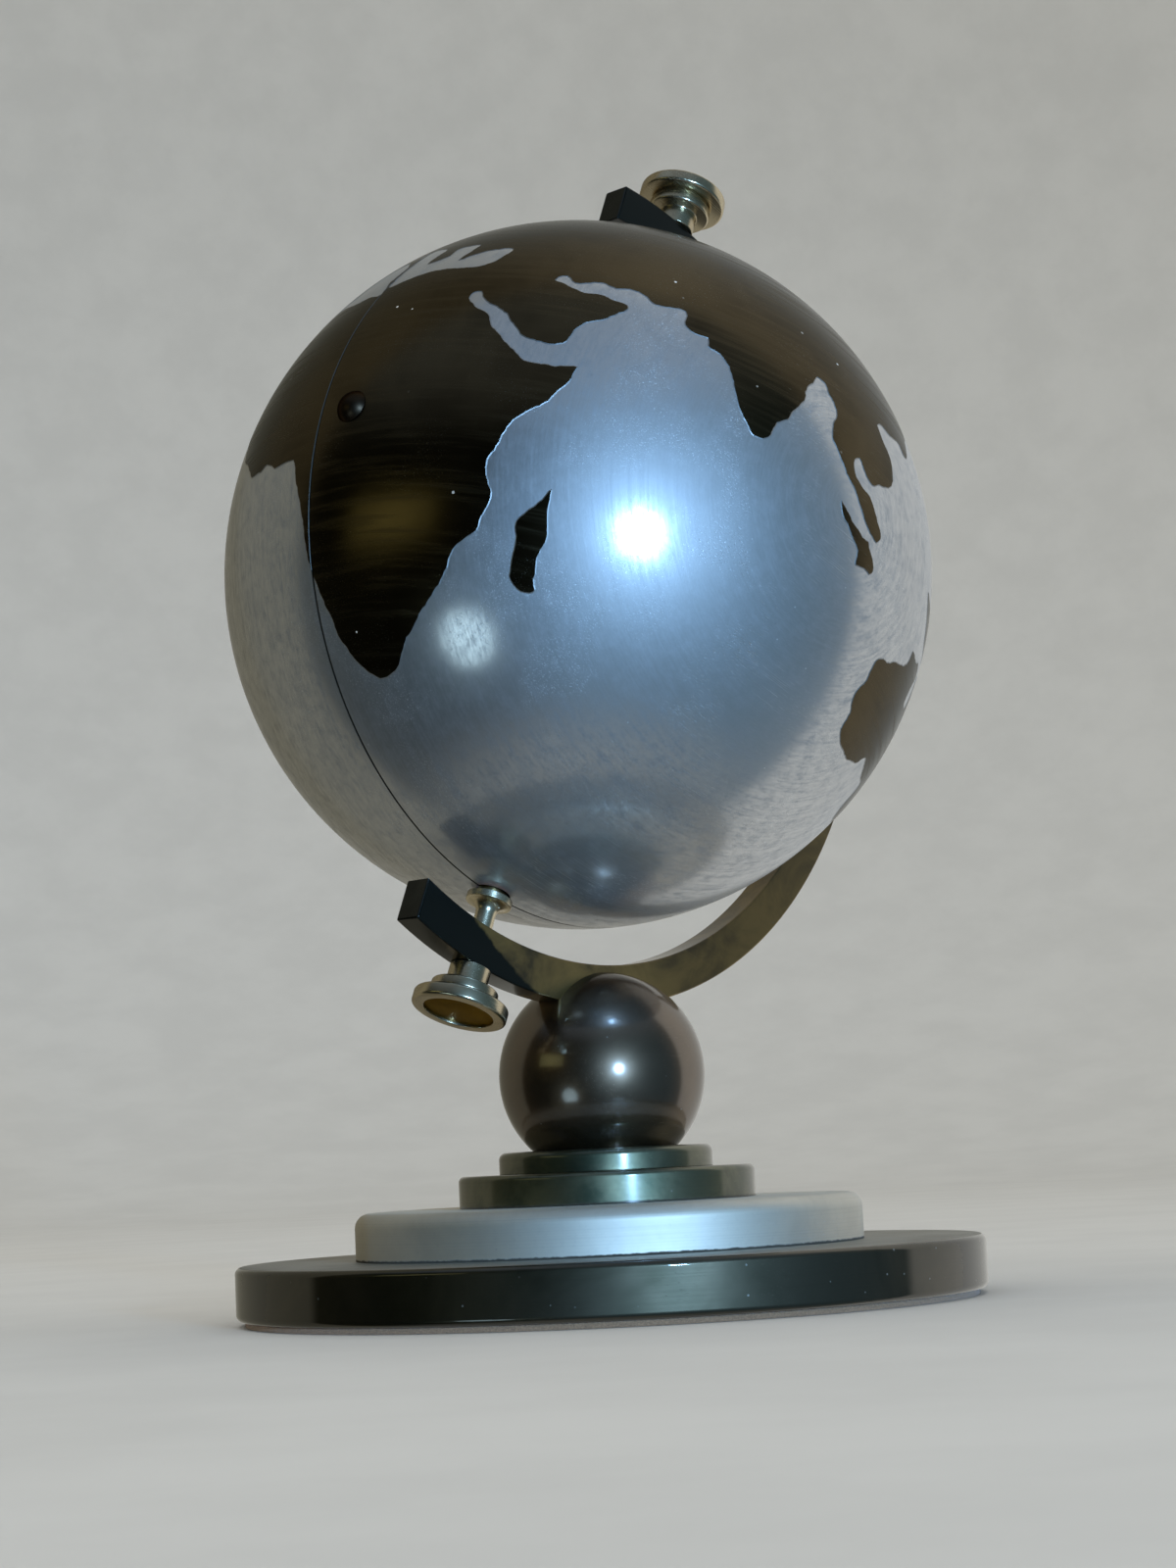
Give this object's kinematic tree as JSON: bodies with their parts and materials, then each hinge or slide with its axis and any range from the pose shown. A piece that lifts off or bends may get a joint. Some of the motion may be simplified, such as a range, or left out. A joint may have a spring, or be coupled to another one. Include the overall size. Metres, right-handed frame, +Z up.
{
  "type": "desktop globe",
  "caption": "Small metal desk globe with a hinged front half, held in a half-round square-bar arm on a ball and a stepped round base.",
  "frame": {"origin": "centre of the felt pad's underside, where the base rests on a table, on the base's own centre line", "axes": "+Z up. The arm lies in the XZ plane on the +X side, and the globe's north pole leans 23.5 degrees towards +X. The lid is the -Y half of the globe."},
  "size_m": [0.1125, 0.103, 0.1668],
  "materials": {
    "felt": "short brown felt",
    "iron": "rough cast",
    "disc_chrome": "mirror polished, light dust",
    "tier_satin": "satin silver, fine turning marks",
    "step_dark": "dark polished, faint tarnish",
    "ball_dark": "polished, aged",
    "arm_bar": "polished, tarnished in patches",
    "steel": "plain machined",
    "knob_nickel": "polished nickel, warm",
    "inlay_brass": "olive-gold lacquered",
    "fibre": "red-brown fibre",
    "globe_silver": "satin silver seas with polished dark land",
    "brass": "plain brass"
  },
  "bodies": {
    "stand": {"felt_pad": "felt", "ballast_plate": "iron", "base_disc": "disc_chrome", "base_tier": "tier_satin", "lower_step": "step_dark", "upper_step": "step_dark", "ball": "ball_dark", "tie_screw": "steel", "tie_washer": "steel", "arm": "arm_bar", "arm_dowel": "steel", "lower_knob": "knob_nickel", "upper_knob": "knob_nickel", "lower_inlay": "inlay_brass", "upper_inlay": "inlay_brass", "lower_spool": "knob_nickel", "upper_spool": "knob_nickel", "lower_washer": "fibre", "upper_washer": "fibre"},
    "globe": {"rear_shell": "globe_silver", "rim_ring": "brass", "lower_bush": "brass", "upper_bush": "brass", "lower_saddle": "brass", "upper_saddle": "brass", "hinge_rear_leaf": "knob_nickel", "hinge_pin": "steel", "catch_spring": "brass"},
    "lid": {"front_shell": "globe_silver", "hinge_lid_leaf": "knob_nickel", "thumb_button": "knob_nickel", "catch_lug": "brass"}
  },
  "joints": [
    {"name": "globe_spin", "type": "hinge", "parent": "stand", "child": "globe", "pos_m": [0, 0, 0.1024], "axis": [0.3987, 0, 0.9171], "continuous": true},
    {"name": "lid_hinge", "type": "hinge", "parent": "globe", "child": "lid", "pos_m": [0.04723, 0, 0.08186], "axis": [0.3987, 0, 0.9171], "range_deg": [0, 70]}
  ]
}
